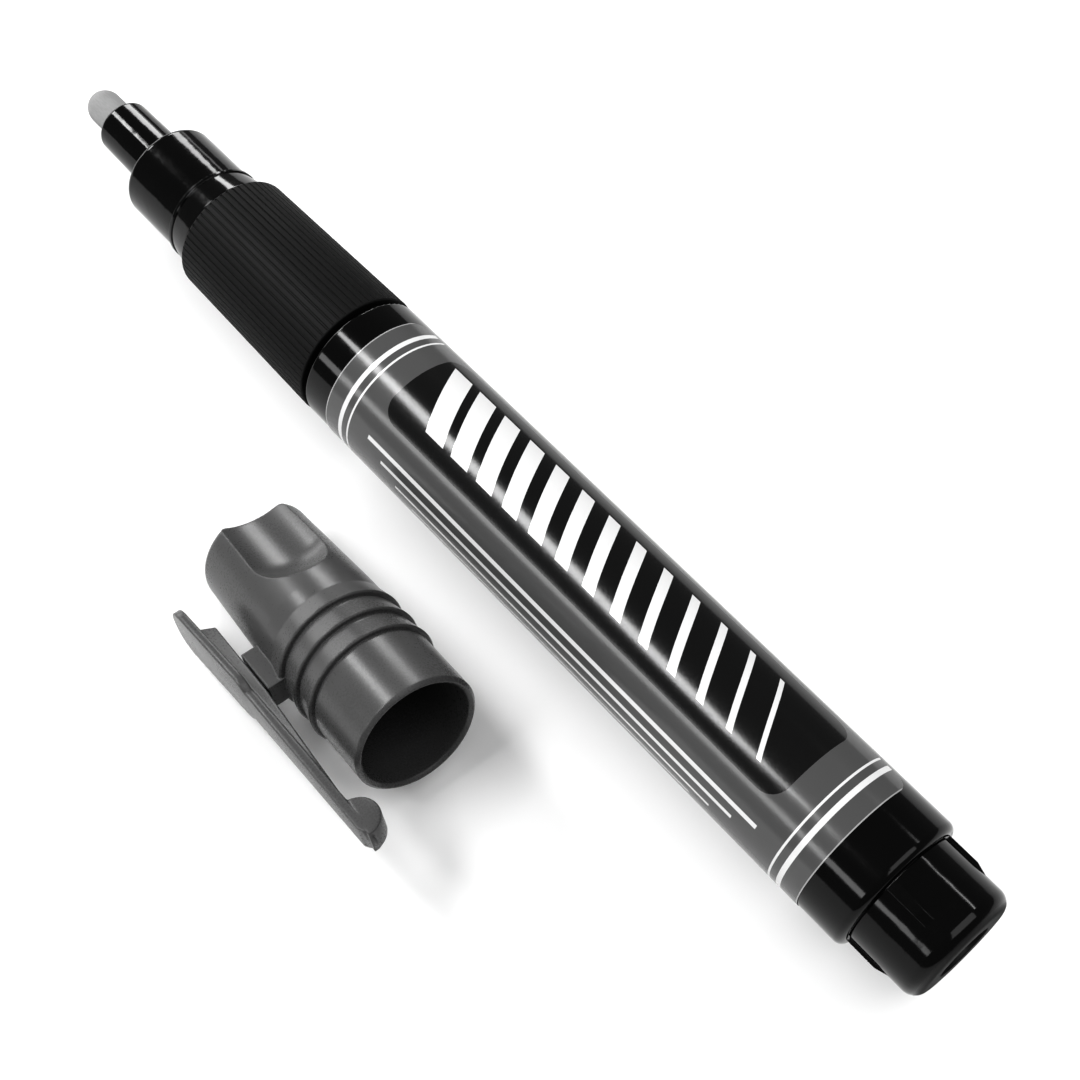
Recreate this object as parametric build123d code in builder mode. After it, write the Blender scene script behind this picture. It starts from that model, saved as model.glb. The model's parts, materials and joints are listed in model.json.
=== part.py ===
from build123d import *
import os
from math import cos, radians, sin

os.makedirs("parts", exist_ok=True)

# Paint marker with a valve nib, lying uncapped with its clip cap beside it.
# The marker's axis is X, with the nib towards -X and the tail plug towards +X, and Z is up.
# The origin is on the axis, halfway along the uncapped marker. Sizes are in millimetres.

# Lengths of what shows along the marker, from the nib to the tail
nib_reach = 5.7
holder_length = 9.4
collar_length = 8.7
band_length = 3.9
grip_length = 22.6
grip_gap = 0.5
bare_front = 3.8
label_length = 69.3
bare_rear = 5.3
plug_reach = 7.8

# Outside radii, and the steps from the barrel's radius to its neighbours'
nib_radius = 2.1
holder_front_radius = 3.25
holder_rear_radius = 3.4
barrel_radius = 7.5
grip_swell = 0.05
grip_taper = 0.4
band_step = 0.75
bead_step = 0.35
collar_step = 0.25
plug_step = 1.25

# Edges that are rounded or chamfered
holder_round = 0.5
collar_round = 0.7
bead_width = 0.5
bead_round = 0.1
bead_groove = 0.12
grip_front_round = 0.7
grip_rear_round = 0.2
shoulder_round = 0.4
tail_round = 0.9
tail_chamfer = 0.35
plug_round = 1.5

# Walls, depths and clearances
seat_gap = 0.03
slide_gap = 0.08
run_gap = 0.25
barrel_wall = 1.3
neck_wall = 1.3
grip_thickness = 0.85
step_length = 1.5
socket_radius = 2.95
socket_depth = 7.0
shank_length = 20.0
film_thickness = 0.05
label_corner = 2.0
label_seam = 4.6
label_seam_turn = 68.0

# Valve inside the collar's shank: its radii are shares of the room there
nib_length = 27.6
valve_bore_share = 0.77
seat_offset = 6.7
seat_length = 4.0
rod_share = 0.48
rod_overhang = 2.0
gasket_room = 0.52
gasket_thickness = 0.8
gasket_lift = 0.1
head_length = 1.2
cage_wall = 0.75
cage_floor = 1.2
cage_window_length = 5.0
cage_window_width = 2.2
spring_room = 8.0
spring_turns = 6.5
spring_wire_radius = 0.22

# Mixing ball
ball_radius = 3.0
ball_station = 15.0
ball_gap = 0.1

# Tail plug
plug_insert = 8.0
plug_wall = 1.2
plug_web = 1.6
plug_recess_wall = 3.25
plug_recess_depth = 5.5
rib_count = 4
rib_width = 1.0
rib_height = 0.35
rib_length = 4.6
rib_slope = 1.3
rib_turn = 24.0

# Cap: lengths run from its mouth to its closed end
cap_length = 30.9
cap_clearance = 0.1
cap_wall = 0.75
cap_taper = 0.55
cap_mouth_chamfer = 0.35
cap_bore_chamfer = 0.3
cap_end_round = 0.8
cap_taper_start = 17.5
ring_count = 3
ring_height = 0.4
ring_first = 7.8
ring_pitch = 2.8
ring_slope = 2.3
ring_groove = 0.15
ring_groove_run = 0.4
ring_bevel = 0.15
scoop_start = 18.0
scoop_nose = 6.0
scoop_cover = 1.12
scoop_radius = 7.5
scoop_turn = 10.0
liner_wall = 0.5
liner_floor = 0.6
liner_step_gap = 0.8
liner_tip_gap = 0.8

# Clip: heights are measured from the cap's wall
clip_tail = 27.9
clip_tip = -7.3
clip_thickness = 0.9
clip_tail_rise = 4.55
clip_knee_rise = 3.85
clip_tip_rise = 3.35
clip_tip_chamfer = 1.6
pad_start = 13.2
pad_width = 6.0
pad_round = 2.4
arm_width = 4.2
tip_width = 2.9
bridge_start = 13.2
bridge_length = 5.4
bridge_width = 2.9
bridge_sink = 0.6
clip_rib_start = 24.6
clip_rib_step = 1.1
clip_rib_rise = 1.85
clip_gap = 0.18
bump_length = 4.4
bump_rise = 0.55
bump_inset = 0.4

# Where the cap lies
cap_mouth_x = 21.5
cap_mouth_y = -23.7
cap_yaw = -4.2
cap_tilt = 13.0

# Stations along the marker
marker_length = (
    nib_reach + holder_length + collar_length + band_length + grip_length
    + grip_gap + bare_front + label_length + bare_rear + plug_reach
)
x_tip = -marker_length / 2
x_holder = x_tip + nib_reach
x_collar = x_holder + holder_length
x_band = x_collar + collar_length
x_grip = x_band + band_length
x_grip_end = x_grip + grip_length
x_shoulder = x_grip_end + grip_gap
x_label = x_shoulder + bare_front
x_label_end = x_label + label_length
x_tail = x_label_end + bare_rear
x_end = x_tail + plug_reach
x_chamber = x_shoulder + step_length
x_shank_end = x_grip + shank_length

# Stations of the valve
x_nib_end = x_tip + nib_length
x_seat = x_nib_end + seat_offset
x_seat_end = x_seat + seat_length
x_gasket = x_seat_end + gasket_lift
x_head = x_gasket + gasket_thickness
x_head_end = x_head + head_length
x_cage_floor = x_head_end + spring_room
x_cage_end = x_cage_floor + cage_floor
x_rod_end = x_cage_end + rod_overhang

# Radii that follow from the barrel's
grip_rear_radius = barrel_radius + grip_swell
grip_front_radius = grip_rear_radius - grip_taper
band_radius = grip_front_radius - band_step
bead_radius = band_radius - bead_step
collar_radius = bead_radius - collar_step
chamber_radius = barrel_radius - barrel_wall
grip_bore_radius = grip_front_radius - grip_thickness
neck_radius = grip_bore_radius - seat_gap
neck_bore_radius = neck_radius - neck_wall
shank_radius = neck_bore_radius - seat_gap
plug_radius = barrel_radius - plug_step
plug_recess_radius = plug_radius - plug_recess_wall
plug_skirt_radius = chamber_radius - seat_gap

# Radii of the nib's bores and of the valve
nib_bore_radius = nib_radius + slide_gap
nib_passage_radius = nib_radius + run_gap
valve_bore_radius = valve_bore_share * shank_radius
cage_radius = valve_bore_radius - seat_gap
cage_bore_radius = cage_radius - cage_wall
gasket_radius = cage_bore_radius - gasket_room
rod_radius = rod_share * gasket_radius
rod_bore_radius = rod_radius + run_gap
spring_radius = (gasket_radius + rod_radius) / 2


def outline(points, plane=Plane.XY):
    """A closed flat outline through points of (distance along the axis, distance from it)."""
    with BuildSketch(plane) as flat:
        with BuildLine():
            Polyline(*points, close=True)
        make_face()
    return flat.sketch


def tube(start, end, inner, outer):
    """The half section of a plain tube about an axis."""
    return outline([(start, inner), (end, inner), (end, outer), (start, outer)])


def rim(part, x):
    """The widest circular edge of a turned piece at one station of the marker."""
    circles = part.edges().filter_by(GeomType.CIRCLE)
    nearby = circles.filter_by_position(Axis.X, x - seat_gap / 2, x + seat_gap / 2)
    return nearby.sort_by(SortBy.RADIUS)[-1]


# Nib: a felt rod with a half-round writing end
with BuildPart() as nib:
    with BuildSketch(Plane.XY):
        with BuildLine():
            Line((x_tip, 0), (x_nib_end, 0))
            Line((x_nib_end, 0), (x_nib_end, nib_radius))
            Line((x_nib_end, nib_radius), (x_tip + nib_radius, nib_radius))
            RadiusArc((x_tip + nib_radius, nib_radius), (x_tip, 0), -nib_radius)
        make_face()
    revolve(axis=Axis.X)
nib.part.label = "nib"

# Nib holder: a slightly tapered tube with a thinner spigot in the collar
spigot_radius = socket_radius - seat_gap
x_spigot_end = x_collar + socket_depth
with BuildPart() as nib_holder:
    revolve(
        outline([
            (x_holder, nib_bore_radius), (x_spigot_end, nib_bore_radius), (x_spigot_end, spigot_radius),
            (x_collar, spigot_radius), (x_collar, holder_rear_radius), (x_holder, holder_front_radius),
        ]),
        axis=Axis.X,
    )
    fillet(rim(nib_holder, x_holder), holder_round)
nib_holder.part.label = "nib_holder"

# Front collar: the cap's seat, a bead and a flared band outside, and the valve's housing behind
x_bead_end = x_band + bead_width
with BuildPart() as front_collar:
    revolve(
        outline([
            (x_collar, socket_radius), (x_collar, collar_radius), (x_band, collar_radius),
            (x_band, bead_radius), (x_bead_end, bead_radius), (x_bead_end, bead_radius - bead_groove),
            (x_grip - bead_width, band_radius), (x_grip, band_radius), (x_grip, shank_radius),
            (x_shank_end, shank_radius), (x_shank_end, valve_bore_radius), (x_seat, valve_bore_radius),
            (x_seat, nib_passage_radius), (x_spigot_end, nib_passage_radius), (x_spigot_end, socket_radius),
        ]),
        axis=Axis.X,
    )
    fillet(rim(front_collar, x_collar), collar_round)
    fillet([rim(front_collar, x_band), rim(front_collar, x_bead_end)], bead_round)
front_collar.part.label = "front_collar"

# Valve seat: a bush at the bottom of the valve's bore
with BuildPart() as valve_seat:
    revolve(tube(x_seat, x_seat_end, rod_bore_radius, cage_radius), axis=Axis.X)
valve_seat.part.label = "valve_seat"

# Valve rod: a stem from the nib to the cage, with the head that the spring pushes on
with BuildPart() as valve_rod:
    revolve(
        outline([
            (x_nib_end, 0), (x_nib_end, rod_radius), (x_head, rod_radius), (x_head, gasket_radius),
            (x_head_end, gasket_radius), (x_head_end, rod_radius), (x_rod_end, rod_radius), (x_rod_end, 0),
        ]),
        axis=Axis.X,
    )
valve_rod.part.label = "valve_rod"

# Valve gasket: a soft washer on the rod, in front of its head
with BuildPart() as valve_gasket:
    revolve(tube(x_gasket, x_head, rod_radius + seat_gap, gasket_radius), axis=Axis.X)
valve_gasket.part.label = "valve_gasket"

# Spring cage: a cup that closes the valve's bore, with windows that let the paint in
x_window = x_cage_floor - cage_window_length / 2 - cage_floor
with BuildPart() as spring_cage:
    revolve(
        outline([
            (x_seat_end, cage_bore_radius), (x_cage_floor, cage_bore_radius),
            (x_cage_floor, rod_bore_radius), (x_cage_end, rod_bore_radius),
            (x_cage_end, cage_radius), (x_seat_end, cage_radius),
        ]),
        axis=Axis.X,
    )
    for across in (Plane.XY, Plane.XZ):
        with BuildSketch(across):
            with Locations((x_window, 0)):
                Rectangle(cage_window_length, cage_window_width)
        extrude(amount=valve_bore_radius, both=True, mode=Mode.SUBTRACT)
spring_cage.part.label = "spring_cage"

# Valve spring: a coil between the rod's head and the cage's floor
spring_length = spring_room - 2 * (spring_wire_radius + seat_gap)
spring_pitch = spring_length / spring_turns
spring_start = (x_head_end + spring_wire_radius + seat_gap, 0, 0)
with BuildPart() as valve_spring:
    with BuildLine() as spring_path:
        Helix(spring_pitch, spring_length, spring_radius, center=spring_start, direction=(1, 0, 0))
    with BuildSketch(Plane(origin=spring_path.line @ 0, z_dir=spring_path.line % 0)):
        Circle(spring_wire_radius)
    sweep(path=spring_path.line, is_frenet=True)
valve_spring.part.label = "valve_spring"
coil_points = [spring_path.line @ (step / 400) for step in range(401)]
half_turn = int(200 / spring_turns)
turn_spacing = min(
    (far - near).length
    for place, near in enumerate(coil_points)
    for far in coil_points[place + half_turn:]
)
print("least gap between the spring's turns, mm:", round(turn_spacing - 2 * spring_wire_radius, 2))

# Barrel: the paint tube, with a thinner neck under the grip
with BuildPart() as barrel:
    revolve(
        outline([
            (x_grip, neck_bore_radius), (x_chamber, neck_bore_radius), (x_chamber, chamber_radius),
            (x_tail - tail_chamfer, chamber_radius), (x_tail, chamber_radius + tail_chamfer),
            (x_tail, barrel_radius), (x_shoulder, barrel_radius),
            (x_shoulder, neck_radius), (x_grip, neck_radius),
        ]),
        axis=Axis.X,
    )
    fillet(rim(barrel, x_shoulder), shoulder_round)
    fillet(rim(barrel, x_tail), min(tail_round, 0.9 * (barrel_wall - tail_chamfer)))
barrel.part.label = "barrel"

# Grip sleeve: a tapered elastomer tube over the barrel's neck
with BuildPart() as grip_sleeve:
    revolve(
        outline([
            (x_grip, grip_bore_radius), (x_grip_end, grip_bore_radius),
            (x_grip_end, grip_rear_radius), (x_grip, grip_front_radius),
        ]),
        axis=Axis.X,
    )
    fillet(rim(grip_sleeve, x_grip), min(grip_front_round, 0.9 * grip_thickness))
    fillet(rim(grip_sleeve, x_grip_end), grip_rear_round)
grip_sleeve.part.label = "grip_sleeve"

# Label film: a thin wrap that stops short of closing, with round corners at its open edge
film_bore_radius = barrel_radius + seat_gap
film_radius = film_bore_radius + film_thickness
seam_way = Vector(0, 0, 1).rotate(Axis.X, -label_seam_turn)
seam_plane = Plane(origin=((x_label + x_label_end) / 2, 0, 0), x_dir=(1, 0, 0), z_dir=seam_way)
wrap_edge = label_seam / 2 + 2 * label_corner
with BuildPart() as label_film:
    revolve(tube(x_label, x_label_end, film_bore_radius, film_radius), axis=Axis.X)
    with BuildSketch(seam_plane):
        Rectangle(label_length + label_corner, label_seam + 2 * label_corner)
        with Locations((0, wrap_edge), (0, -wrap_edge)):
            RectangleRounded(label_length, 4 * label_corner, label_corner, mode=Mode.SUBTRACT)
    extrude(amount=2 * film_radius, mode=Mode.SUBTRACT)
label_film.part.label = "label_film"

# Mixing ball: loose on the floor of the paint chamber
ball_height = ball_radius + ball_gap - chamber_radius
with BuildPart(Plane(origin=(ball_station, 0, ball_height))) as mixing_ball:
    Sphere(ball_radius)
mixing_ball.part.label = "mixing_ball"

# Rear plug: a hollow stopper with short ribs where it shows and a cup in its end
x_plug_front = x_tail - plug_insert
x_recess = x_end - plug_recess_depth
x_web = x_recess - plug_web
plug_bore_radius = plug_skirt_radius - plug_wall
rib_radius = plug_radius + rib_height
with BuildPart() as rear_plug:
    revolve(
        outline([
            (x_plug_front, plug_bore_radius), (x_web, plug_bore_radius), (x_web, 0), (x_recess, 0),
            (x_recess, plug_recess_radius), (x_end, plug_recess_radius), (x_end, plug_radius),
            (x_tail, plug_radius), (x_tail, plug_skirt_radius), (x_plug_front, plug_skirt_radius),
        ]),
        axis=Axis.X,
    )
    fillet(rim(rear_plug, x_end), plug_round)
    for number in range(rib_count):
        rib_way = Vector(0, -1, 0).rotate(Axis.X, rib_turn + number * 360 / rib_count)
        with BuildSketch(Plane(origin=(x_tail, 0, 0), x_dir=(1, 0, 0), z_dir=rib_way)):
            with BuildLine():
                Polyline(
                    (0, plug_radius - rib_height), (0, rib_radius), (rib_length - rib_slope, rib_radius),
                    (rib_length, plug_radius - seat_gap), (rib_length, plug_radius - rib_height),
                    close=True,
                )
            make_face()
        extrude(amount=rib_width / 2, both=True)
rear_plug.part.label = "rear_plug"

# Cap's radii and the depths inside it, sized by what it closes over
cap_bore_radius = collar_radius + cap_clearance
cap_mouth_radius = cap_bore_radius + cap_wall
cap_end_radius = cap_mouth_radius - cap_taper
ring_radius = cap_mouth_radius + ring_height
liner_holder_radius = holder_rear_radius + run_gap
liner_nib_radius = nib_radius + run_gap
cap_step_radius = liner_holder_radius + liner_wall + seat_gap
cap_pocket_radius = liner_nib_radius + liner_wall + seat_gap
scoop_floor = cap_pocket_radius + scoop_cover
cap_step = collar_length + liner_step_gap
cap_pocket = collar_length + holder_length + liner_step_gap
liner_end = collar_length + holder_length + nib_reach + liner_tip_gap + liner_floor

# Heights of the clip from the cap's axis
clip_tail_height = cap_mouth_radius + clip_tail_rise
clip_knee_height = cap_mouth_radius + clip_knee_rise
clip_tip_height = cap_mouth_radius + clip_tip_rise
clip_rib_height = cap_mouth_radius + clip_rib_rise
bump_height = cap_mouth_radius + bump_rise

# The cap lies on its last ring and on a flat that runs from there to its closed end
floor_height = -film_radius
ring_last = ring_first + (ring_count - 1) * ring_pitch
cap_mouth_z = floor_height + ring_radius * cos(radians(cap_tilt)) + ring_last * sin(radians(cap_tilt))

# Directions on the cap: towards its closed end, out to its clip, square to both, and up its scoop
cap_mouth = Vector(cap_mouth_x, cap_mouth_y, cap_mouth_z)
closed_way = Vector(-1, 0, 0).rotate(Axis.Y, -cap_tilt).rotate(Axis.Z, cap_yaw)
clip_way = Vector(0, -1, 0).rotate(Axis.Z, cap_yaw)
top_way = closed_way.cross(clip_way)
scoop_way = top_way.rotate(Axis((0, 0, 0), closed_way), scoop_turn)
scoop_axis = scoop_floor + scoop_radius
scoop_turning_point = (scoop_start + scoop_nose, scoop_floor + scoop_nose)
cap_axis = Axis(cap_mouth, closed_way)
cap_plane = Plane(origin=cap_mouth, x_dir=closed_way, z_dir=top_way)
clip_plan = Plane(origin=cap_mouth, x_dir=closed_way, z_dir=clip_way)
scoop_plane = Plane(origin=cap_mouth, x_dir=closed_way, z_dir=closed_way.cross(scoop_way))

# Cap shell: turned outside with ridged rings, a finger scoop on top and a flat underneath
ring_points = []
for number in range(ring_count):
    ring_start = ring_first + number * ring_pitch
    ring_points += [(ring_start - ring_groove_run, cap_mouth_radius)]
    ring_points += [(ring_start, cap_mouth_radius - ring_groove), (ring_start, ring_radius - ring_bevel)]
    ring_points += [(ring_start + ring_bevel, ring_radius)]
    ring_points += [(ring_start + ring_slope, cap_mouth_radius)]
with BuildPart() as cap_shell:
    with BuildSketch(cap_plane):
        with BuildLine():
            Polyline(
                (liner_end, 0), (cap_length, 0), (cap_length, cap_end_radius),
                (cap_taper_start, cap_mouth_radius), *reversed(ring_points),
                (cap_mouth_chamfer, cap_mouth_radius), (0, cap_mouth_radius - cap_mouth_chamfer),
                (0, cap_bore_radius + cap_bore_chamfer), (cap_bore_chamfer, cap_bore_radius),
                (cap_step, cap_bore_radius), (cap_step, cap_step_radius), (cap_pocket, cap_step_radius),
                (cap_pocket, cap_pocket_radius), (liner_end, cap_pocket_radius), close=True,
            )
        make_face()
    revolve(axis=cap_axis)
    closed_rim = cap_shell.edges().filter_by(GeomType.CIRCLE).group_by(cap_axis)[-1]
    fillet(closed_rim, cap_end_round)
    with BuildSketch(scoop_plane):
        with BuildLine():
            CenterArc(scoop_turning_point, scoop_nose, 180, 90)
            Polyline(
                (scoop_start + scoop_nose, scoop_floor), (cap_length + scoop_nose, scoop_floor),
                (cap_length + scoop_nose, scoop_axis), (scoop_start, scoop_axis),
                (scoop_start, scoop_floor + scoop_nose),
            )
        make_face()
    revolve(axis=Axis(cap_mouth + scoop_way * scoop_axis, closed_way), mode=Mode.SUBTRACT)
    split(bisect_by=Plane(origin=(0, 0, floor_height)), keep=Keep.TOP)
    with BuildSketch(cap_plane):
        with BuildLine():
            Polyline(
                (bridge_start, cap_mouth_radius - bridge_sink), (bridge_start, clip_rib_height - clip_gap),
                (bridge_start + bridge_length, clip_rib_height - clip_gap),
                (bridge_start + bridge_length, cap_mouth_radius - bridge_sink), close=True,
            )
        make_face()
    extrude(amount=bridge_width / 2, both=True)
cap_shell.part.label = "cap_shell"

# Cap liner: a stepped cup that closes over the nib and its holder
with BuildPart() as cap_liner:
    with BuildSketch(cap_plane):
        with BuildLine():
            Polyline(
                (cap_step, liner_holder_radius), (cap_pocket - liner_wall, liner_holder_radius),
                (cap_pocket - liner_wall, liner_nib_radius), (liner_end - liner_floor, liner_nib_radius),
                (liner_end - liner_floor, 0), (liner_end - seat_gap, 0),
                (liner_end - seat_gap, liner_nib_radius + liner_wall),
                (cap_pocket - seat_gap, liner_nib_radius + liner_wall),
                (cap_pocket - seat_gap, liner_holder_radius + liner_wall),
                (cap_step, liner_holder_radius + liner_wall), close=True,
            )
        make_face()
    revolve(axis=cap_axis)
cap_liner.part.label = "cap_liner"

# Cap clip: a bar with a wide tail pad, a tapered rib towards the cap and a bump near its tip
bump_end = clip_tip + bump_inset
bump_start = bump_end + bump_length
arm_slope = (clip_knee_height - clip_tip_height) / (pad_start - clip_tip)
bump_crown = ((bump_start + bump_end) / 2, bump_height)
bump_foot = clip_tip_height + arm_slope * (bump_start - clip_tip) - clip_thickness
bump_heel = clip_tip_height + arm_slope * (bump_end - clip_tip) - clip_thickness
with BuildPart() as cap_clip:
    with BuildSketch(cap_plane):
        with BuildLine():
            Polyline(
                (clip_tail, clip_tail_height), (pad_start, clip_knee_height),
                (clip_tip + clip_tip_chamfer, clip_tip_height + arm_slope * clip_tip_chamfer),
                (clip_tip, clip_tip_height - clip_tip_chamfer / 2),
                (clip_tip, clip_tip_height - clip_thickness),
                (pad_start, clip_knee_height - clip_thickness),
                (clip_tail, clip_tail_height - clip_thickness), close=True,
            )
        make_face()
    extrude(amount=pad_width / 2, both=True)
    with BuildSketch(clip_plan):
        with Locations(((clip_tail + pad_start) / 2, 0)):
            RectangleRounded(clip_tail - pad_start, pad_width, pad_round)
        with BuildLine():
            Polyline(
                (clip_tail - pad_round, arm_width / 2), (pad_start, arm_width / 2),
                (clip_tip + tip_width / 2, tip_width / 2), (clip_tip + tip_width / 2, -tip_width / 2),
                (pad_start, -arm_width / 2), (clip_tail - pad_round, -arm_width / 2), close=True,
            )
        make_face()
        with Locations((clip_tip + tip_width / 2, 0)):
            Circle(tip_width / 2)
    extrude(amount=2 * clip_tail_height, mode=Mode.INTERSECT)
    with BuildSketch(cap_plane):
        with BuildLine():
            Polyline(
                (clip_rib_start, clip_tail_height - clip_thickness / 2),
                (clip_rib_start, clip_tail_height - clip_thickness),
                (clip_rib_start - clip_rib_step, clip_rib_height), (bridge_start, clip_rib_height),
                (bump_start, bump_foot), (bump_start, bump_foot + clip_thickness / 2),
                (pad_start, clip_knee_height - clip_thickness / 2), close=True,
            )
        make_face()
    extrude(amount=bridge_width / 2, both=True)
    with BuildSketch(cap_plane):
        with BuildLine():
            ThreePointArc((bump_start, bump_foot), bump_crown, (bump_end, bump_heel))
            Polyline(
                (bump_end, bump_heel), (bump_end, bump_heel + clip_thickness / 2),
                (bump_start, bump_foot + clip_thickness / 2), (bump_start, bump_foot),
            )
        make_face()
    extrude(amount=tip_width / 2, both=True)
cap_clip.part.label = "cap_clip"

pieces = [
    nib, nib_holder, front_collar, valve_seat, valve_rod, valve_gasket, spring_cage, valve_spring, barrel,
    grip_sleeve, label_film, mixing_ball, rear_plug, cap_shell, cap_liner, cap_clip,
]
for piece in pieces:
    export_step(piece.part, f"parts/{piece.part.label}.step")
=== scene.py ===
import json
import logging
import math
from collections.abc import Sequence
from dataclasses import dataclass
from enum import Enum
from functools import cache
from typing import Any, ClassVar, Protocol

import bmesh
import bpy
from mathutils import Matrix, Vector

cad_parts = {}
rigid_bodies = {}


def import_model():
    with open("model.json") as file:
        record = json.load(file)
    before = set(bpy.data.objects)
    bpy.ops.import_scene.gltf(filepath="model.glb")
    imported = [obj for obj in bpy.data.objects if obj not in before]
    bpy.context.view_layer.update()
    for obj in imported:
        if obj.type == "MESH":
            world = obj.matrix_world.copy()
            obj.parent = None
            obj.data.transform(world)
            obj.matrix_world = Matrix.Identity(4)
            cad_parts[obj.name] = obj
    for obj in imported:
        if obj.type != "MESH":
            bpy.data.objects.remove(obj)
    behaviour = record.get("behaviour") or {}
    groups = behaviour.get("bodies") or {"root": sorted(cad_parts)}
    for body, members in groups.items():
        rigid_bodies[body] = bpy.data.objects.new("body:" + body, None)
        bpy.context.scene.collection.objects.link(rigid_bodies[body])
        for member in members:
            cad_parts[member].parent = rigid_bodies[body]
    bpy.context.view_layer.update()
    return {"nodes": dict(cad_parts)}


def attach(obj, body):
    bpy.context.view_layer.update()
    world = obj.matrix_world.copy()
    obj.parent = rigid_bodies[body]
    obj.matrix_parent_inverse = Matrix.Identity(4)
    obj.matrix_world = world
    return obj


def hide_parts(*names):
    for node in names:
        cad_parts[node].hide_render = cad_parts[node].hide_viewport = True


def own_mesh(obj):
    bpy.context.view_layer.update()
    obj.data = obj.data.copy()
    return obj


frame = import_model()
LOG = logging.getLogger("paint_marker")

# Sizes are in millimetres, angles in degrees and powers in watts; the frame is in metres
MM = 0.001

# Corners nearer than this are merged on a turned piece and on a copied one
SEAM_GAP = 0.0001
COPY_GAP = 0.001

# The middle of a cloud that runs from nought to one, and half a step between whole numbers
MIDDLE = 0.5
HALF_STEP = 0.5

# How many rays find a softened edge
EDGE_RAYS = 6

QUARTER_TURN = 90.0


class Body(Enum):
    """The moving bodies that pieces ride on."""

    MARKER = "marker"
    CLIP = "clip"


class MixSocket(Enum):
    """The places of a Mix node's colour sockets."""

    FACTOR = 0
    A = 6
    B = 7
    RESULT = 2


class Shade:
    """A value socket that takes part in arithmetic by adding Math nodes."""

    def __init__(self, bench: "Bench", socket: bpy.types.NodeSocket) -> None:
        """Keep the socket and the bench that it belongs to."""
        self.bench = bench
        self.socket = socket

    def __add__(self, other: "Shade | float") -> "Shade":
        """Add a value or a number."""
        return self.bench.math("ADD", self, other)

    def __radd__(self, other: float) -> "Shade":
        """Add to a number."""
        return self.bench.math("ADD", other, self)

    def __sub__(self, other: "Shade | float") -> "Shade":
        """Take a value or a number away."""
        return self.bench.math("SUBTRACT", self, other)

    def __rsub__(self, other: float) -> "Shade":
        """Take this value away from a number."""
        return self.bench.math("SUBTRACT", other, self)

    def __mul__(self, other: "Shade | float") -> "Shade":
        """Multiply by a value or a number."""
        return self.bench.math("MULTIPLY", self, other)

    def __rmul__(self, other: float) -> "Shade":
        """Multiply a number by this value."""
        return self.bench.math("MULTIPLY", other, self)

    def __truediv__(self, other: "Shade | float") -> "Shade":
        """Divide by a value or a number."""
        return self.bench.math("DIVIDE", self, other)

    def __lt__(self, other: "Shade | float") -> "Shade":
        """One where this value is the smaller, and nought elsewhere."""
        return self.bench.math("LESS_THAN", self, other)

    def __gt__(self, other: "Shade | float") -> "Shade":
        """One where this value is the larger, and nought elsewhere."""
        return self.bench.math("GREATER_THAN", self, other)

    def __abs__(self) -> "Shade":
        """The value without its sign."""
        return self.bench.math("ABSOLUTE", self)

    def floor(self) -> "Shade":
        """The whole part of the value."""
        return self.bench.math("FLOOR", self)

    def root(self) -> "Shade":
        """The square root of the value."""
        return self.bench.math("SQRT", self)

    def most(self, other: "Shade | float") -> "Shade":
        """The larger of this value and another."""
        return self.bench.math("MAXIMUM", self, other)

    def least(self, other: "Shade | float") -> "Shade":
        """The smaller of this value and another."""
        return self.bench.math("MINIMUM", self, other)

    def counts_below(self, count: int) -> "Shade":
        """One where this whole number is from nought to below the count, and nought elsewhere."""
        return (self > -HALF_STEP) * (self < count - HALF_STEP)


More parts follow.
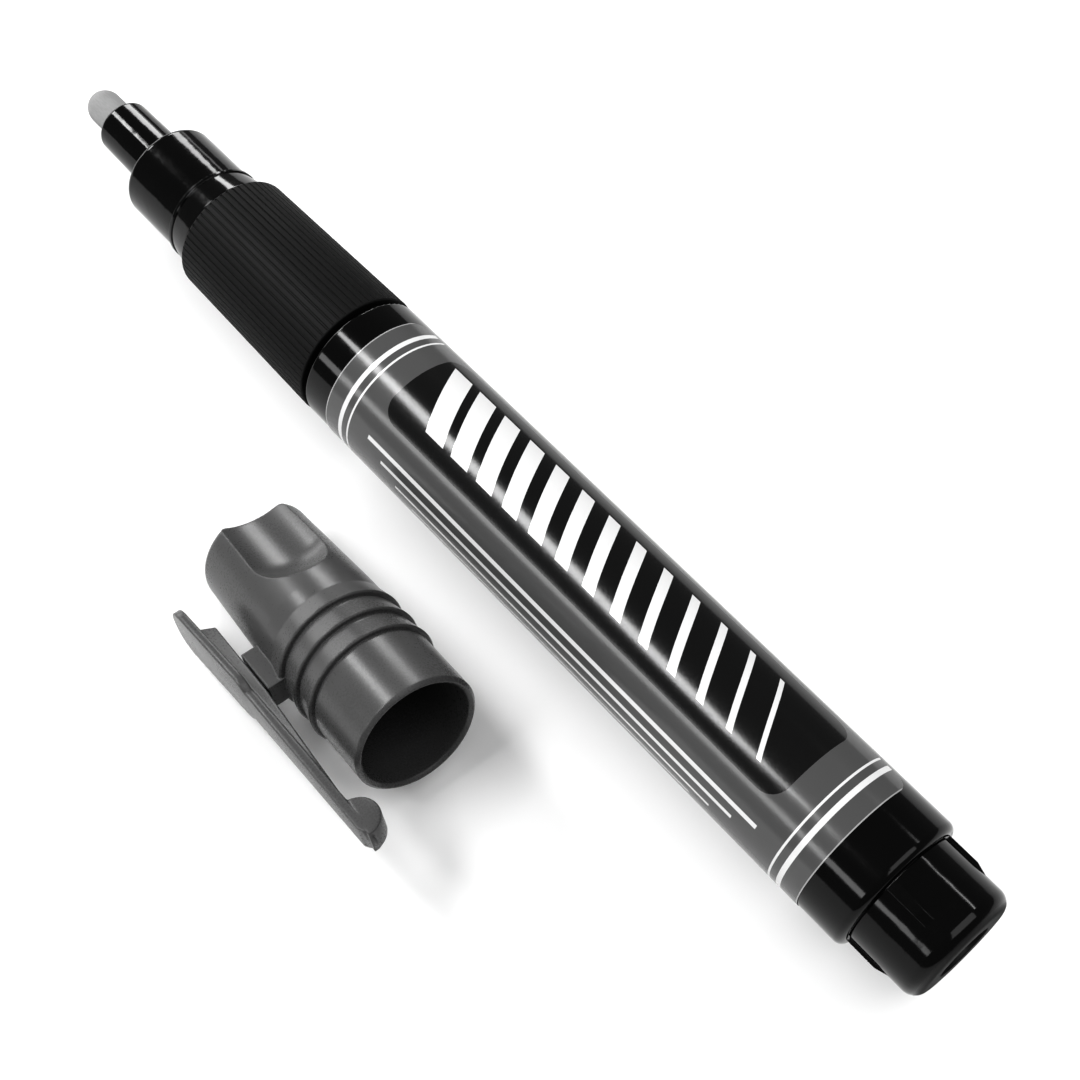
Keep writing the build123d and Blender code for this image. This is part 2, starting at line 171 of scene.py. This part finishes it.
class Bench:
    """The node tree of one material, and the few ways in which nodes are added to it."""

    def __init__(self, name: str) -> None:
        """Start an empty material.

        Args:
            name: what the material is called.
        """
        self.material = bpy.data.materials.new(name)
        self.material.use_nodes = True
        self.tree = self.material.node_tree
        self.tree.nodes.clear()
        self.place = self.node("ShaderNodeTexCoord").outputs["Object"]

    def node(
        self,
        kind: str,
        settings: dict[str, Any] | None = None,
        sockets: dict[str | int, Any] | None = None,
    ) -> bpy.types.Node:
        """Add a node of any kind.

        Args:
            kind: the node's type.
            settings: properties that are set before the sockets.
            sockets: a value, socket or shade for each input, by its name or number.

        Returns:
            The new node.
        """
        node = self.tree.nodes.new(kind)
        for key, value in (settings or {}).items():
            setattr(node, key, value)
        for key, value in (sockets or {}).items():
            source = value.socket if isinstance(value, Shade) else value
            if isinstance(source, bpy.types.NodeSocket):
                self.tree.links.new(source, node.inputs[key])
            else:
                node.inputs[key].default_value = source
        return node

    def math(self, operation: str, *values: "Shade | float") -> Shade:
        """Add a Math node.

        Args:
            operation: what the node works out.
            values: its inputs, in order.

        Returns:
            The result.
        """
        node = self.node("ShaderNodeMath", {"operation": operation}, dict(enumerate(values)))
        return Shade(self, node.outputs[0])

    def position(self) -> tuple[Shade, Shade, Shade]:
        """The place on the piece, along X, Y and Z in millimetres."""
        parts = self.node("ShaderNodeSeparateXYZ", sockets={0: self.place}).outputs
        return tuple(Shade(self, part) / MM for part in parts)

    def noise(self, period: float, detail: float, stretch: Sequence[float] = (1, 1, 1)) -> Shade:
        """Soft random cloud over the piece.

        Args:
            period: size of its lumps in millimetres.
            detail: how many finer layers it has.
            stretch: how much longer the lumps are along X, Y and Z.

        Returns:
            The cloud, from nought to one.
        """
        scale = [1 / (period * MM * factor) for factor in stretch]
        laid = self.node("ShaderNodeMapping", sockets={"Vector": self.place, "Scale": scale})
        cloud = self.node(
            "ShaderNodeTexNoise", sockets={"Vector": laid.outputs[0], "Scale": 1.0, "Detail": detail}
        )
        return Shade(self, cloud.outputs[0])

    def blend(self, factor: Shade, first: Any, second: Any) -> bpy.types.NodeSocket:
        """A colour between two others.

        Args:
            factor: nought for the first colour and one for the second.
            first: a colour, or a socket that gives one.
            second: a colour, or a socket that gives one.

        Returns:
            The colour.
        """
        sockets = {MixSocket.FACTOR.value: factor, MixSocket.A.value: first, MixSocket.B.value: second}
        mix = self.node("ShaderNodeMix", {"data_type": "RGBA"}, sockets)
        return mix.outputs[MixSocket.RESULT.value]

    def tone(self, factor: Shade, low: float, high: float) -> bpy.types.NodeSocket:
        """A grey between two tones.

        Args:
            factor: nought for the first tone and one for the second.
            low: the first tone.
            high: the second tone.

        Returns:
            The colour.
        """
        return self.blend(factor, grey(low), grey(high))

    def relief(self, height: Shade, edge: float) -> bpy.types.NodeSocket:
        """A fine unevenness of the surface, with softened edges.

        Args:
            height: the height over the surface in millimetres.
            edge: how far from an edge the surface looks rounded, in millimetres.

        Returns:
            The tilted normal.
        """
        soft = self.node("ShaderNodeBevel", {"samples": EDGE_RAYS}, {"Radius": edge * MM})
        sockets = {"Distance": MM, "Height": height, "Normal": soft.outputs[0]}
        return self.node("ShaderNodeBump", sockets=sockets).outputs[0]

    def finish(self, **sockets: Any) -> bpy.types.Material:
        """Close the material with its shader.

        Args:
            sockets: a value or link for each of the shader's sockets, with _ for a space.

        Returns:
            The material.
        """
        named = {name.replace("_", " "): value for name, value in sockets.items()}
        shader = self.node("ShaderNodeBsdfPrincipled", sockets=named)
        self.node("ShaderNodeOutputMaterial", sockets={"Surface": shader.outputs[0]})
        return self.material


def grey(tone: float) -> tuple[float, float, float, float]:
    """A neutral colour of one tone."""
    return (tone, tone, tone, 1.0)


class Finish(Protocol):
    """Anything that can make a material."""

    @property
    def name(self) -> str:
        """What the material is called."""

    def material(self) -> bpy.types.Material:
        """The finish as a material."""


@dataclass(frozen=True)
class Moulding:
    """Moulded plastic or rubber: its tone, its gloss and the fine grain of its skin."""

    name: str
    tone: float
    roughness: float
    smear: float = 0.05
    mottle: float = 0.12
    cloud_size: float = 7.0
    cloud_detail: float = 4.0
    grain_size: float = 0.35
    grain_detail: float = 2.0
    grain_depth: float = 0.002
    wave_size: float = 1.8
    wave_detail: float = 1.0
    wave_depth: float = 0.0
    specular: float = 0.5
    edge: float = 0.1

    def material(self) -> bpy.types.Material:
        """Lay the finish out as nodes.

        Returns:
            The material, with a mottled tone, a smeared gloss and an uneven skin.
        """
        bench = Bench(self.name)
        cloud = bench.noise(self.cloud_size, self.cloud_detail)
        grain = bench.noise(self.grain_size, self.grain_detail)
        wave = bench.noise(self.wave_size, self.wave_detail)
        return bench.finish(
            Base_Color=bench.tone(cloud, self.tone * (1 - self.mottle), self.tone * (1 + self.mottle)),
            Roughness=self.skin(cloud, grain),
            Specular_IOR_Level=self.specular,
            Normal=bench.relief(grain * self.grain_depth + wave * self.wave_depth, self.edge),
        )

    def skin(self, cloud: Shade, grain: Shade) -> Shade:
        """How rough the skin is.

        Args:
            cloud: wide smears, from nought to one.
            grain: fine grain, from nought to one.

        Returns:
            The roughness.
        """
        return self.roughness + (cloud - MIDDLE) * self.smear + (grain - MIDDLE) * self.smear


@dataclass(frozen=True)
class MattEndMoulding(Moulding):
    """A moulding that turns matt past one place along the marker."""

    matt_start: float = 67.9
    matt_run: float = 0.5
    matt_roughness: float = 0.7

    def skin(self, cloud: Shade, grain: Shade) -> Shade:
        """How rough the skin is, with its matt end.

        Args:
            cloud: wide smears, from nought to one.
            grain: fine grain, from nought to one.

        Returns:
            The roughness.
        """
        gloss = super().skin(cloud, grain)
        along = cloud.bench.position()[0]
        share = ((along - self.matt_start) / self.matt_run).most(0.0).least(1.0)
        return gloss + (self.matt_roughness - gloss) * share


@dataclass(frozen=True)
class Felt:
    """Pressed fibre that runs along the marker."""

    name: str = "pressed_felt"
    dark: float = 0.2
    light: float = 0.36
    fibre_size: float = 0.16
    fibre_detail: float = 4.0
    fibre_run: tuple[float, float, float] = (5, 1, 1)
    fibre_depth: float = 0.03
    fibre_share: float = 0.6
    patch_size: float = 1.6
    patch_detail: float = 3.0
    patch_share: float = 0.4
    roughness: float = 0.8
    roughening: float = 0.15
    edge: float = 0.2

    def material(self) -> bpy.types.Material:
        """Lay the finish out as nodes.

        Returns:
            The material, with fibres along the marker and wider patches over them.
        """
        bench = Bench(self.name)
        fibre = bench.noise(self.fibre_size, self.fibre_detail, self.fibre_run)
        patch = bench.noise(self.patch_size, self.patch_detail)
        streak = fibre * self.fibre_share + patch * self.patch_share
        return bench.finish(
            Base_Color=bench.tone(streak, self.dark, self.light),
            Roughness=self.roughness + fibre * self.roughening,
            Normal=bench.relief(fibre * self.fibre_depth, self.edge),
        )


@dataclass(frozen=True)
class Steel:
    """Bright bare metal with faint drawing marks."""

    name: str
    tone: float = 0.62
    roughness: float = 0.2
    smear: float = 0.12
    darkest: float = 0.85
    lightest: float = 1.1
    mark_size: float = 0.3
    mark_detail: float = 3.0
    mark_run: tuple[float, float, float] = (6, 1, 1)
    mark_depth: float = 0.002
    edge: float = 0.05

    def material(self) -> bpy.types.Material:
        """Lay the finish out as nodes.

        Returns:
            The material, with marks along the marker in its tone, gloss and skin.
        """
        bench = Bench(self.name)
        marks = bench.noise(self.mark_size, self.mark_detail, self.mark_run)
        return bench.finish(
            Base_Color=bench.tone(marks, self.tone * self.darkest, self.tone * self.lightest),
            Metallic=1.0,
            Roughness=self.roughness + (marks - MIDDLE) * self.smear,
            Normal=bench.relief(marks * self.mark_depth, self.edge),
        )


@dataclass(frozen=True)
class PrintedFilm:
    """Glossy wrap with a plain print: slanted bars that grow thinner, long rules and end rings."""

    name: str = "printed_film"
    start: float = -13.9
    end: float = 55.4
    radius: float = 7.58
    ground: float = 0.095
    panel: float = 0.008
    ink: float = 0.7
    panel_middle: float = 0.4
    panel_height: float = 11.6
    panel_margin: float = 6.6
    panel_corner: float = 2.2
    bar_count: int = 13
    bar_pitch: float = 3.9
    bar_slant: float = 0.55
    bar_reach: float = 3.9
    bar_lead: float = 1.0
    bar_share: float = 0.7
    bar_thinning: float = 0.6
    rule_count: int = 4
    rule_pitch: float = 1.5
    rule_start: float = -8.2
    rule_share: float = 0.34
    rule_thinning: float = 0.05
    rule_indent: float = 2.5
    wide_ring_inset: float = 2.4
    wide_ring_reach: float = 0.28
    thin_ring_inset: float = 3.6
    thin_ring_reach: float = 0.12
    cut_edge: float = 0.13
    cut_tint: float = 0.45
    roughness: float = 0.17
    smear: float = 0.12
    ripple_size: float = 2.2
    ripple_run: tuple[float, float, float] = (3, 1, 1)
    ripple_depth: float = 0.0045
    grain_size: float = 0.22
    grain_depth: float = 0.0015
    detail: float = 2.0
    edge: float = 0.05

    def material(self) -> bpy.types.Material:
        """Lay the finish out as nodes.

        Returns:
            The material, with the print in its tone and faint ripples in its skin.
        """
        bench = Bench(self.name)
        along, across, up = bench.position()
        arc = bench.math("ARCTAN2", across, up) * self.radius
        inset = (self.end - self.start) / 2 - abs(along - (self.start + self.end) / 2)
        panel_arc = arc - self.panel_middle
        ink = self.bars(along, panel_arc).most(self.rings(inset)).most(self.rules(inset, arc))
        ground = bench.tone(self.block(inset, panel_arc), self.ground, self.panel)
        ripple = bench.noise(self.ripple_size, self.detail, self.ripple_run)
        grain = bench.noise(self.grain_size, self.detail)
        return bench.finish(
            Base_Color=bench.blend(ink, ground, grey(self.ink)),
            Roughness=self.roughness + (grain - MIDDLE) * self.smear,
            Normal=bench.relief(ripple * self.ripple_depth + grain * self.grain_depth, self.edge),
        )

    def block(self, inset: Shade, arc: Shade) -> Shade:
        """The dark panel behind the bars, with round corners.

        Args:
            inset: the distance from the nearer end of the film.
            arc: the place round the film, from the panel's middle.

        Returns:
            One inside the panel.
        """
        over_end = (self.panel_margin + self.panel_corner - inset).most(0.0)
        over_side = (abs(arc) - self.panel_height / 2 + self.panel_corner).most(0.0)
        return (over_end * over_end + over_side * over_side).root() < self.panel_corner

    def bars(self, along: Shade, arc: Shade) -> Shade:
        """Slanted bars, each thinner than the one before.

        Args:
            along: the place along the marker.
            arc: the place round the film, from the panel's middle.

        Returns:
            One on the bars.
        """
        first = self.start + self.panel_margin + self.panel_corner + self.bar_lead
        cell = (along + arc * self.bar_slant - first) / self.bar_pitch
        number = cell.floor()
        width = self.bar_share - number * (self.bar_thinning / self.bar_count)
        inside = number.counts_below(self.bar_count) * (abs(arc) < self.bar_reach)
        return ((cell - number) < width) * inside

    def rules(self, inset: Shade, arc: Shade) -> Shade:
        """Thin rules along the film, below the panel.

        Args:
            inset: the distance from the nearer end of the film.
            arc: the place round the film, from its top.

        Returns:
            One on the rules.
        """
        cell = (self.rule_start - arc) / self.rule_pitch
        number = cell.floor()
        width = self.rule_share - number * self.rule_thinning
        indent = self.panel_margin + number * self.rule_indent
        return ((cell - number) < width) * number.counts_below(self.rule_count) * (inset > indent)

    def rings(self, inset: Shade) -> Shade:
        """Thin rings round the film near its ends, and the pale cut edge itself.

        Args:
            inset: the distance from the nearer end of the film.

        Returns:
            One on the rings, and less on the cut edge.
        """
        wide_ring = abs(inset - self.wide_ring_inset) < self.wide_ring_reach
        thin_ring = abs(inset - self.thin_ring_inset) < self.thin_ring_reach
        return wide_ring.most(thin_ring).most((inset < self.cut_edge) * self.cut_tint)


@cache
def coat(finish: Finish) -> bpy.types.Material:
    """The one material of a finish."""
    return finish.material()


GLOSS_SKIN: dict[str, float] = {
    "tone": 0.003,
    "roughness": 0.1,
    "smear": 0.06,
    "grain_depth": 0.0012,
    "wave_depth": 0.02,
    "specular": 0.35,
}
GLOSS_BLACK = Moulding("gloss_black", **GLOSS_SKIN)
PLUG_BLACK = MattEndMoulding("plug_black", **GLOSS_SKIN)
BARREL_BLACK = Moulding(
    "barrel_black", 0.003, 0.09, smear=0.05, grain_depth=0.001, wave_depth=0.003, specular=0.35
)
GRIP_RUBBER = Moulding(
    "grip_rubber", 0.007, 0.6, smear=0.12, mottle=0.25, grain_size=0.2, grain_depth=0.006, specular=0.25
)
CAP_SATIN = Moulding(
    "cap_satin", 0.078, 0.28, smear=0.08, grain_size=0.22, grain_depth=0.003, specular=0.4, edge=0.3
)
CAP_LINING = Moulding("cap_lining", 0.006, 0.5)
VALVE_WHITE = Moulding("valve_white", 0.72, 0.45, mottle=0.04)
SEAL_RUBBER = Moulding("seal_rubber", 0.02, 0.7)
SPRING_STEEL = Steel("spring_steel")
BALL_STEEL = Steel("ball_steel", 0.6, 0.14)
NIB_FELT = Felt()
LABEL_FILM = PrintedFilm()
FLOOR_PAPER = Moulding("floor_paper", 0.86, 0.9, mottle=0.01)


def dress(node: str, finish: Finish) -> None:
    """Give a piece of the frame its finish.

    Args:
        node: the piece's name.
        finish: what it is made of.
    """
    mesh = frame["nodes"][node].data
    mesh.materials.clear()
    mesh.materials.append(coat(finish))
    LOG.info("%s: dressed in %s", node, finish.name)


def settle(
    mesh: bmesh.types.BMesh, name: str, finish: Finish, body: Body, smooth: float
) -> bpy.types.Object:
    """Turn a finished mesh into a piece that rides on a body.

    Args:
        mesh: the mesh in metres, which is used up.
        name: the piece's name.
        finish: what it is made of.
        body: what it rides on.
        smooth: the angle in degrees up to which its edges look round.

    Returns:
        The piece.
    """
    data = bpy.data.meshes.new(name)
    mesh.to_mesh(data)
    mesh.free()
    data.shade_smooth()
    data.set_sharp_from_angle(angle=math.radians(smooth))
    data.materials.append(coat(finish))
    piece = bpy.data.objects.new(name, data)
    bpy.context.scene.collection.objects.link(piece)
    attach(piece, body.value)
    LOG.info("%s: %d faces, rides on %s", name, len(data.polygons), body.value)
    return piece


def turned(profile: Sequence[tuple[float, float]], steps: int) -> bmesh.types.BMesh:
    """Turn a closed outline once round the marker's axis.

    Args:
        profile: the outline as (place along the axis, radius) in millimetres.
        steps: how many facets it has round the axis.

    Returns:
        The turned mesh in metres, facing outwards.
    """
    mesh = bmesh.new()
    ring = [mesh.verts.new((x * MM, 0, radius * MM)) for x, radius in profile]
    edges = [mesh.edges.new((ring[place - 1], ring[place])) for place in range(len(ring))]
    bmesh.ops.spin(
        mesh,
        geom=ring + edges,
        axis=(1, 0, 0),
        cent=(0, 0, 0),
        angle=math.tau,
        steps=steps,
        use_merge=True,
    )
    bmesh.ops.remove_doubles(mesh, verts=mesh.verts, dist=SEAM_GAP * MM)
    bmesh.ops.recalc_face_normals(mesh, faces=mesh.faces)
    return mesh


def copied(node: str) -> bmesh.types.BMesh:
    """Copy a piece of the frame as one closed mesh.

    Args:
        node: the piece's name.

    Returns:
        The copied mesh in metres, facing outwards.
    """
    mesh = bmesh.new()
    mesh.from_mesh(frame["nodes"][node].data)
    bmesh.ops.remove_doubles(mesh, verts=mesh.verts, dist=COPY_GAP * MM)
    bmesh.ops.recalc_face_normals(mesh, faces=mesh.faces)
    return mesh


@dataclass
class WritingEnd:
    """The nib, its holder, the collar and the valve behind them."""

    spring_end: float = -20.1
    spring_room: float = 8.0
    nib_travel: float = 1.5
    smooth_angle: float = 40.0
    outside: ClassVar[dict[str, Finish]] = {
        "nib": NIB_FELT,
        "nib_holder": GLOSS_BLACK,
        "front_collar": GLOSS_BLACK,
    }
    valve: ClassVar[dict[str, Finish]] = {
        "valve_seat": VALVE_WHITE,
        "valve_rod": VALVE_WHITE,
        "spring_cage": VALVE_WHITE,
        "valve_gasket": SEAL_RUBBER,
    }

    def build(self) -> None:
        """Dress the pieces that show and the valve inside, and put a copy of the spring, with a mesh of
        its own, in the plain one's place.
        """
        for node, finish in (self.outside | self.valve).items():
            dress(node, finish)
        mesh = copied("valve_spring")
        coil = settle(mesh, "spring_coil", SPRING_STEEL, Body.MARKER, self.smooth_angle)
        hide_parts("valve_spring")
        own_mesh(coil)


@dataclass
class Grip:
    """The rubber sleeve with fine ribs along it."""

    start: float = -40.8
    end: float = -18.2
    bore: float = 6.3
    front_radius: float = 7.15
    rear_radius: float = 7.55
    front_round: float = 0.45
    front_steps: int = 6
    rear_round: float = 0.2
    rear_steps: int = 3
    rib_count: int = 60
    facets: int = 3
    groove_slope: float = 0.05
    groove_depth: float = 0.14
    outside_facing: float = 0.8
    smooth_angle: float = 32.0

    def radius_at(self, x: float) -> float:
        """The sleeve's radius at one place along the marker."""
        share = (x - self.start) / (self.end - self.start)
        return self.front_radius + share * (self.rear_radius - self.front_radius)

    def profile(self) -> list[tuple[float, float]]:
        """Draw the sleeve's section, with its outer edges rounded.

        Returns:
            The closed outline as (place along the axis, radius) in millimetres.
        """
        nose = self.radius_at(self.start + self.front_round) - self.front_round
        tail = self.radius_at(self.end - self.rear_round) - self.rear_round
        points = [(self.end, self.bore), (self.start, self.bore)]
        for step in range(self.front_steps, -1, -1):
            turn = math.radians(QUARTER_TURN / self.front_steps * step)
            points.append((
                self.start + self.front_round * (1 - math.sin(turn)),
                nose + self.front_round * math.cos(turn),
            ))
        for step in range(self.rear_steps + 1):
            turn = math.radians(QUARTER_TURN / self.rear_steps * step)
            points.append((
                self.end - self.rear_round * (1 - math.sin(turn)),
                tail + self.rear_round * math.cos(turn),
            ))
        return points

    def build(self) -> None:
        """Turn the sleeve, sink its grooves and put it in the plain one's place."""
        steps = self.rib_count * self.facets
        mesh = turned(self.profile(), steps)
        grooves = [face for face in mesh.faces if self.in_groove(face, steps)]
        bmesh.ops.inset_region(
            mesh,
            faces=grooves,
            thickness=self.groove_slope * MM,
            depth=-self.groove_depth * MM,
            use_boundary=True,
            use_even_offset=True,
        )
        sleeve = settle(mesh, "grip_ribbed", GRIP_RUBBER, Body.MARKER, self.smooth_angle)
        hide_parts("grip_sleeve")

    def in_groove(self, face: bmesh.types.BMFace, steps: int) -> bool:
        """Tell whether a face is the floor of a groove.

        Args:
            face: a face of the turned sleeve.
            steps: how many facets the sleeve has round its axis.

        Returns:
            True on every third strip of the sleeve's outside, from its front rounding to its rear one.
        """
        middle = face.calc_center_median()
        outward = Vector((0, middle.y, middle.z)).normalized()
        outside = face.normal.dot(outward) > self.outside_facing
        before_rear = middle.x < (self.end - self.rear_round) * MM
        strip = math.floor(math.atan2(middle.y, middle.z) / math.tau * steps)
        return outside and before_rear and strip % self.facets == 0


@dataclass
class PaintTube:
    """The barrel with its label, ball and tail plug."""

    pieces: ClassVar[dict[str, Finish]] = {
        "barrel": BARREL_BLACK,
        "label_film": LABEL_FILM,
        "mixing_ball": BALL_STEEL,
        "rear_plug": PLUG_BLACK,
    }

    def build(self) -> None:
        """Dress the barrel and what belongs to it."""
        for node, finish in self.pieces.items():
            dress(node, finish)


@dataclass
class ClipCap:
    """The cap that lies beside the marker."""

    edge_round: float = 0.16
    edge_steps: int = 3
    edge_angle: float = 40.0
    flat_angle: float = 0.5
    least_edge: float = 0.002
    tip_start: float = 25.9
    bump_side: float = -33.28
    pieces: ClassVar[dict[str, Finish]] = {"cap_shell": CAP_SATIN, "cap_liner": CAP_LINING}

    def build(self) -> None:
        """Dress the shell and the liner, and put a clip with rounded edges in the plain one's place."""
        for node, finish in self.pieces.items():
            dress(node, finish)
        clip = settle(self.rounded_clip(), "clip_rounded", CAP_SATIN, Body.CLIP, self.edge_angle)
        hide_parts("cap_clip")

    def rounded_clip(self) -> bmesh.types.BMesh:
        """Copy the clip and round its edges.

        Returns:
            The rounded mesh in metres.
        """
        mesh = copied("cap_clip")
        bmesh.ops.dissolve_limit(
            mesh, angle_limit=math.radians(self.flat_angle), verts=mesh.verts, edges=mesh.edges
        )
        bmesh.ops.bevel(
            mesh,
            geom=[edge for edge in mesh.edges if self.is_rounded(edge)],
            offset=self.edge_round * MM,
            affect="EDGES",
            segments=self.edge_steps,
            profile=0.5,
            material=-1,
            clamp_overlap=False,
        )
        bmesh.ops.dissolve_degenerate(mesh, dist=self.least_edge * MM, edges=mesh.edges)
        return mesh

    def is_rounded(self, edge: bmesh.types.BMEdge) -> bool:
        """Tell whether an edge of the clip is rounded.

        Args:
            edge: an edge of the copied clip.

        Returns:
            True on the sharp edges of the arm and its bump, and not on the small facets of the tip.
        """
        sharp = edge.calc_face_angle() > math.radians(self.edge_angle)
        on_arm = min(end.co.x for end in edge.verts) < self.tip_start * MM
        on_bump = min(end.co.y for end in edge.verts) > self.bump_side * MM
        return sharp and (on_arm or on_bump)


@dataclass(frozen=True)
class Panel:
    """One soft light: its place, sides and power, how it runs, and if the marker's pieces shade it."""

    name: str
    place: tuple[float, float, float]
    sides: tuple[float, float]
    power: float
    run: tuple[float, float, float]
    marker_shadow: bool = True

    def hang(self) -> bpy.types.Object:
        """Make the light.

        Returns:
            The light, facing the origin with its long side along its run.
        """
        data = bpy.data.lights.new(self.name, "AREA")
        data.shape = "RECTANGLE"
        data.size, data.size_y = (side * MM for side in self.sides)
        data.energy = self.power
        back = Vector(self.place).normalized()
        side = (Vector(self.run) - back * back.dot(Vector(self.run))).normalized()
        turn = Matrix((side, back.cross(side), back)).transposed()
        light = bpy.data.objects.new(self.name, data)
        light.matrix_world = Matrix.Translation(Vector(self.place) * MM) @ turn.to_4x4()
        bpy.context.scene.collection.objects.link(light)
        return light


@dataclass
class Studio:
    """The floor, the lights and the camera, with how the names start of what shades every light."""

    floor_height: float = -7.58
    floor_side: float = 3000.0
    azimuth: float = 48.89
    elevation: float = 59.30
    distance: float = 174.6
    target: tuple[float, float, float] = (12.0, -0.37, 0.0)
    focal_pixels: float = 1734.0
    image_side: float = 1080.0
    nearest: float = 5.0
    sky: float = 0.2
    keeps_shadow: tuple[str, ...] = ("cap", "clip", "floor")
    panels: tuple[Panel, ...] = (
        Panel("key_light", (260, 110, 620), (420, 640), 1.3, (1, 0, 0)),
        Panel("strip_light", (-170, -185, 425), (290, 90), 1.1, (0.75, -0.66, -0.05), marker_shadow=False),
        Panel("left_light", (-127, -400, 202), (325, 75), 0.32, (0.97, -0.21, 0.11)),
        Panel("cap_light", (-764, -145, 624), (180, 180), 1.8, (0, 1, 0), marker_shadow=False),
        Panel("scoop_light", (-735, 545, 400), (260, 260), 1.9, (0, 0, 1)),
        Panel("back_light", (-960, -50, 190), (600, 300), 1.8, (0, 1, 0), marker_shadow=False),
        Panel("front_glint", (-370, 360, 130), (140, 35), 0.03, (1, 0, 0)),
        Panel("rear_glint", (25, 350, 355), (50, 25), 0.03, (1, 0, 0)),
    )

    def build(self) -> None:
        """Lay the floor, hang the lights and stand the camera."""
        floor = self.lay_floor()
        lights = [panel.hang() for panel in self.panels]
        passed = self.marker_group()
        for panel, light in zip(self.panels, lights):
            if not panel.marker_shadow:
                light.light_linking.blocker_collection = passed
        self.light_room()
        self.stand_camera()

    def lay_floor(self) -> bpy.types.Object:
        """Make the floor.

        Returns:
            A wide sheet of white paper under the object.
        """
        mesh = bmesh.new()
        bmesh.ops.create_grid(mesh, x_segments=1, y_segments=1, size=self.floor_side * MM / 2)
        bmesh.ops.translate(mesh, verts=mesh.verts, vec=(0, 0, self.floor_height * MM))
        data = bpy.data.meshes.new("floor")
        mesh.to_mesh(data)
        mesh.free()
        data.materials.append(coat(FLOOR_PAPER))
        floor = bpy.data.objects.new("floor", data)
        bpy.context.scene.collection.objects.link(floor)
        return floor

    def marker_group(self) -> bpy.types.Collection:
        """Gather the marker's pieces, without the cap's.

        Returns:
            The pieces that cast no shadow from a light that is given the group.
        """
        group = bpy.data.collections.new("marker_group")
        for piece in bpy.data.objects:
            if piece.type == "MESH" and not piece.name.startswith(self.keeps_shadow):
                group.objects.link(piece)
        for member in group.collection_objects:
            member.light_linking.link_state = "EXCLUDE"
        return group

    def light_room(self) -> None:
        """Fill the room with even light."""
        world = bpy.data.worlds.new("room")
        world.use_nodes = True
        room = world.node_tree.nodes["Background"]
        room.inputs["Color"].default_value = grey(1.0)
        room.inputs["Strength"].default_value = self.sky
        bpy.context.scene.world = world

    def stand_camera(self) -> None:
        """Put the camera where the photograph was taken from."""
        turn, lift = math.radians(self.azimuth), math.radians(self.elevation)
        back = Vector((
            math.sin(turn) * math.cos(lift), -math.cos(turn) * math.cos(lift), math.sin(lift)
        ))
        data = bpy.data.cameras.new("camera")
        data.sensor_fit = "HORIZONTAL"
        data.angle = 2 * math.atan(self.image_side / 2 / self.focal_pixels)
        data.clip_start = self.nearest * MM
        camera = bpy.data.objects.new("camera", data)
        camera.location = (Vector(self.target) + back * self.distance) * MM
        camera.rotation_euler = back.to_track_quat("Z", "Y").to_euler()
        bpy.context.scene.collection.objects.link(camera)
        bpy.context.scene.camera = camera


def main() -> None:
    """Build the marker, its cap and the studio round them."""
    logging.basicConfig(level=logging.INFO, format="%(name)s: %(message)s")
    for assembly in (WritingEnd(), Grip(), PaintTube(), ClipCap(), Studio()):
        assembly.build()
        LOG.info("%s is built", type(assembly).__name__)
    bpy.context.scene.view_settings.view_transform = "Standard"
    bpy.context.scene.view_settings.look = "High Contrast"


if __name__ == "__main__":
    main()
